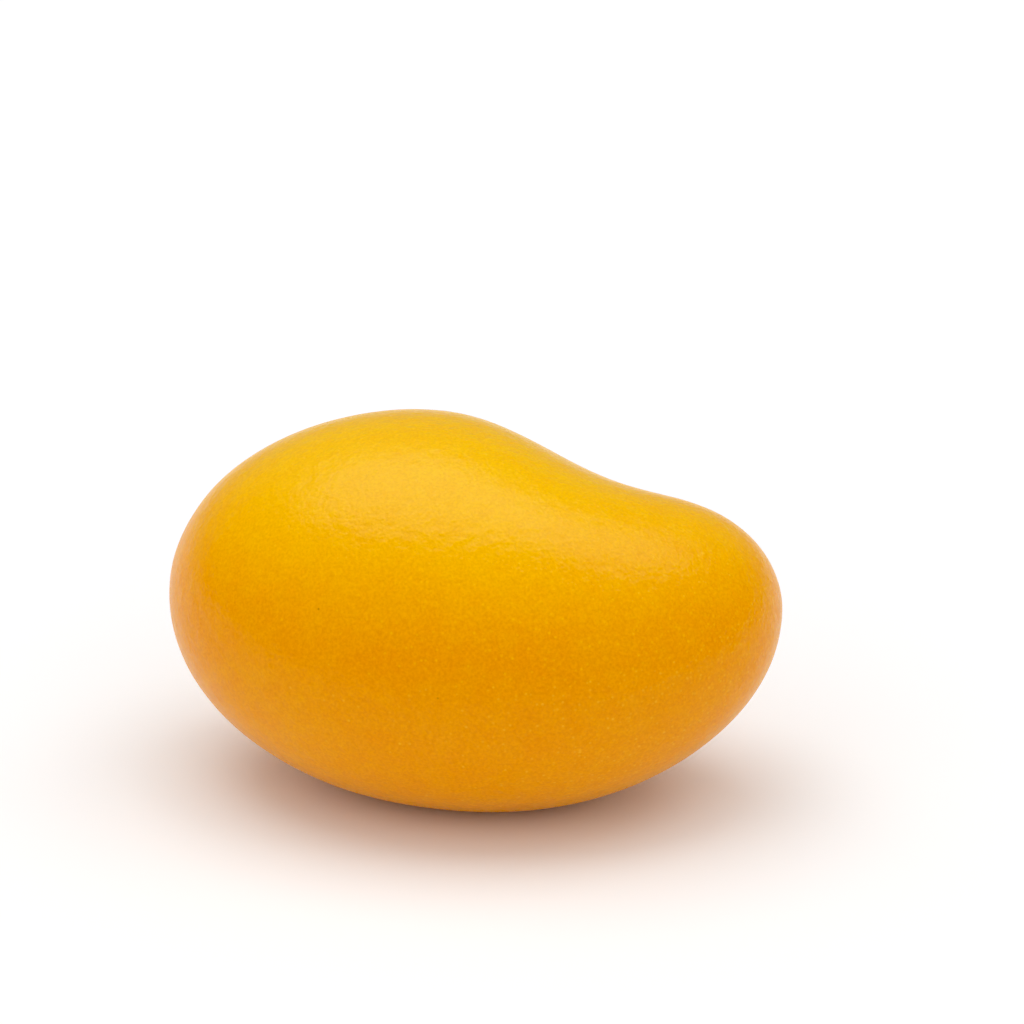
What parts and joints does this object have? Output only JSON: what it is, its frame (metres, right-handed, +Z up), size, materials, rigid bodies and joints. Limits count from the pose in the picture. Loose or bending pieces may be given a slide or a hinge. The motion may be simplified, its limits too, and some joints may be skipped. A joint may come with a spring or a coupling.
{
  "type": "mango",
  "caption": "Ripe yellow mango lying on its side: a smooth kidney-shaped fruit with a broad stem end, a shallow sinus before its rounded apex, and a small flat spot to rest on.",
  "frame": {"origin": "under the middle of the fruit's box, on the surface that it rests on", "axes": "+X along the fruit from its stem end to its apex, +Y to the belly side with the sinus, +Z up"},
  "size_m": [0.112, 0.072, 0.0667],
  "materials": {
    "waxy_skin": "satin"
  },
  "bodies": {
    "root": {"mango": "waxy_skin"}
  },
  "joints": []
}
